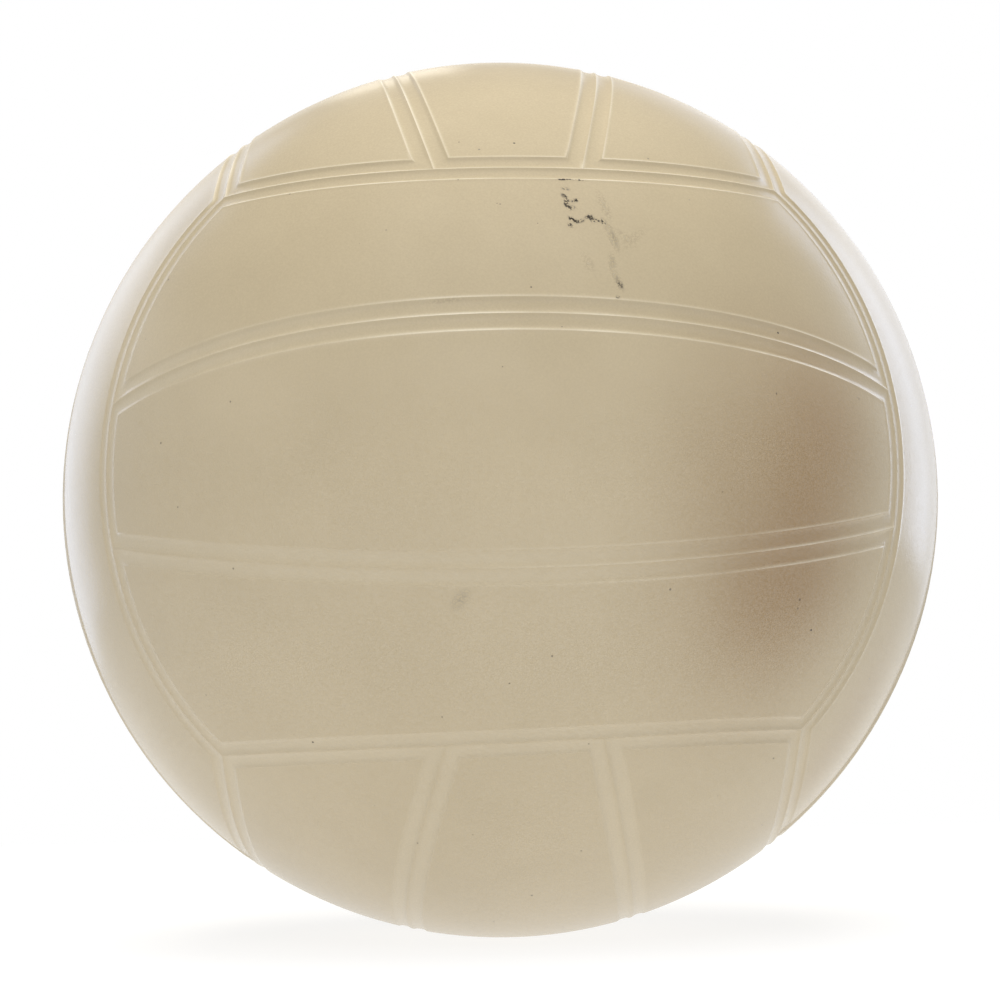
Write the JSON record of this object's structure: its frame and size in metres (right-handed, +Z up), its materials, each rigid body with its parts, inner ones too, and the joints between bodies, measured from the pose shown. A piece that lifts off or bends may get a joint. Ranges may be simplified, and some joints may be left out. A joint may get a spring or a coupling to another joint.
{
  "type": "pool volleyball",
  "caption": "Soft cast PVC pool volleyball with moulded panel flutes and ridges in a one-piece hollow skin, and a flush self-sealing needle valve at the back.",
  "frame": {"origin": "middle of the small flat that the ball stands on", "axes": "+Z up through the ball's centre, +Y from the centre to the valve at the middle of the back face, -Y out of the front face of the panel pattern, whose strips run along X"},
  "size_m": [0.21, 0.2098, 0.2096],
  "materials": {
    "soft_pvc": "satin",
    "valve_pvc": "satin",
    "valve_rubber": "matte"
  },
  "bodies": {
    "root": {"skin": "soft_pvc", "valve_body": "valve_pvc", "valve_core": "valve_rubber"}
  },
  "joints": []
}
